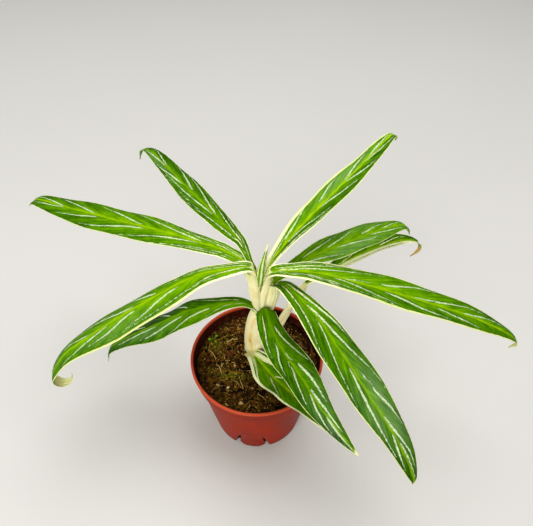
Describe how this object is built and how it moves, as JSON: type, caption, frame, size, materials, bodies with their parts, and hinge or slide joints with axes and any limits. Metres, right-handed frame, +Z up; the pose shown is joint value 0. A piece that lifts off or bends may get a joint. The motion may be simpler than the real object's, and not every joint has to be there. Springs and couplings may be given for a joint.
{
  "type": "potted aglaonema",
  "caption": "Small pot of soil with long narrow arching leaves on pale stalks from one main shoot and a short side shoot",
  "frame": {"origin": "centre of the pot's base, on the surface it stands on", "axes": "+Z up, +Y away from the pictured front, +X to the front's right"},
  "size_m": [0.4249, 0.2953, 0.2565],
  "materials": {
    "pot": "satin terracotta coloured plastic",
    "soil": "damp dark peat with bark chips and fibres",
    "stalk": "smooth ivory stalk, faintly ribbed",
    "leaf": "glossy green leaf with pale streaks, midrib and margin"
  },
  "bodies": {
    "root": {"pot": "pot", "soil": "soil", "main_shoot": "stalk", "side_shoot": "stalk", "leaf_left_upper": "leaf", "leaf_back_left": "leaf", "leaf_left_long": "leaf", "leaf_left_low": "leaf", "leaf_back_upright": "leaf", "leaf_back_right": "leaf", "leaf_side_shoot": "leaf", "leaf_right_long": "leaf", "leaf_front_right": "leaf", "leaf_front": "leaf", "leaf_front_low": "leaf", "leaf_rolled": "leaf"}
  },
  "joints": []
}
